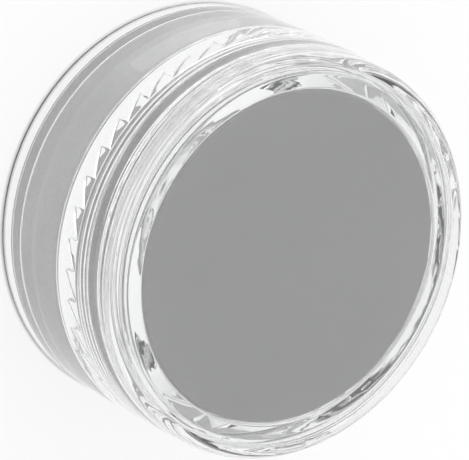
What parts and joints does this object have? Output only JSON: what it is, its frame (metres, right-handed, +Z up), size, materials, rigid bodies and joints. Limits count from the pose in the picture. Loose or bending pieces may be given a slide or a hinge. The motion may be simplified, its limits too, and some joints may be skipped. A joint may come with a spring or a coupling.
{
  "type": "round wet palette",
  "caption": "Round clear screw-top jar with a grey sponge pad, a flat grey palette disc under a clear sealing disc, and a screw lid.",
  "frame": {"origin": "centre of the foot ring, on the plane that the jar stands on", "axes": "+Z up along the axis of the jar and its thread; +X and +Y are level, and the thread of the neck starts 115 degrees from +X"},
  "size_m": [0.062, 0.062, 0.0306],
  "materials": {
    "clear_plastic": "polished clear moulding, with soft internal lines",
    "clear_seal": "clear, slightly hazy",
    "grey_sponge": "fine-celled, damp and smooth against the wall",
    "grey_palette": "flat, matt and even, with a few specks"
  },
  "bodies": {
    "jar": {"jar_body": "clear_plastic", "sponge_pad": "grey_sponge", "palette_disc": "grey_palette"},
    "seal": {"seal_disc": "clear_seal"},
    "lid": {"screw_lid": "clear_plastic"}
  },
  "joints": [
    {"name": "lid_lift", "type": "slide", "parent": "jar", "child": "seal", "axis": [0, 0, 1], "range_m": [0, 0.01351]},
    {"name": "lid_turn", "type": "hinge", "parent": "seal", "child": "lid", "pos_m": [0, 0, 0.0233], "axis": [0, 0, 1], "range_deg": [0, 1080]}
  ],
  "couplings": [
    {"joint": "lid_lift", "follows": "lid_turn", "m_per_rad": 0.0007162}
  ]
}
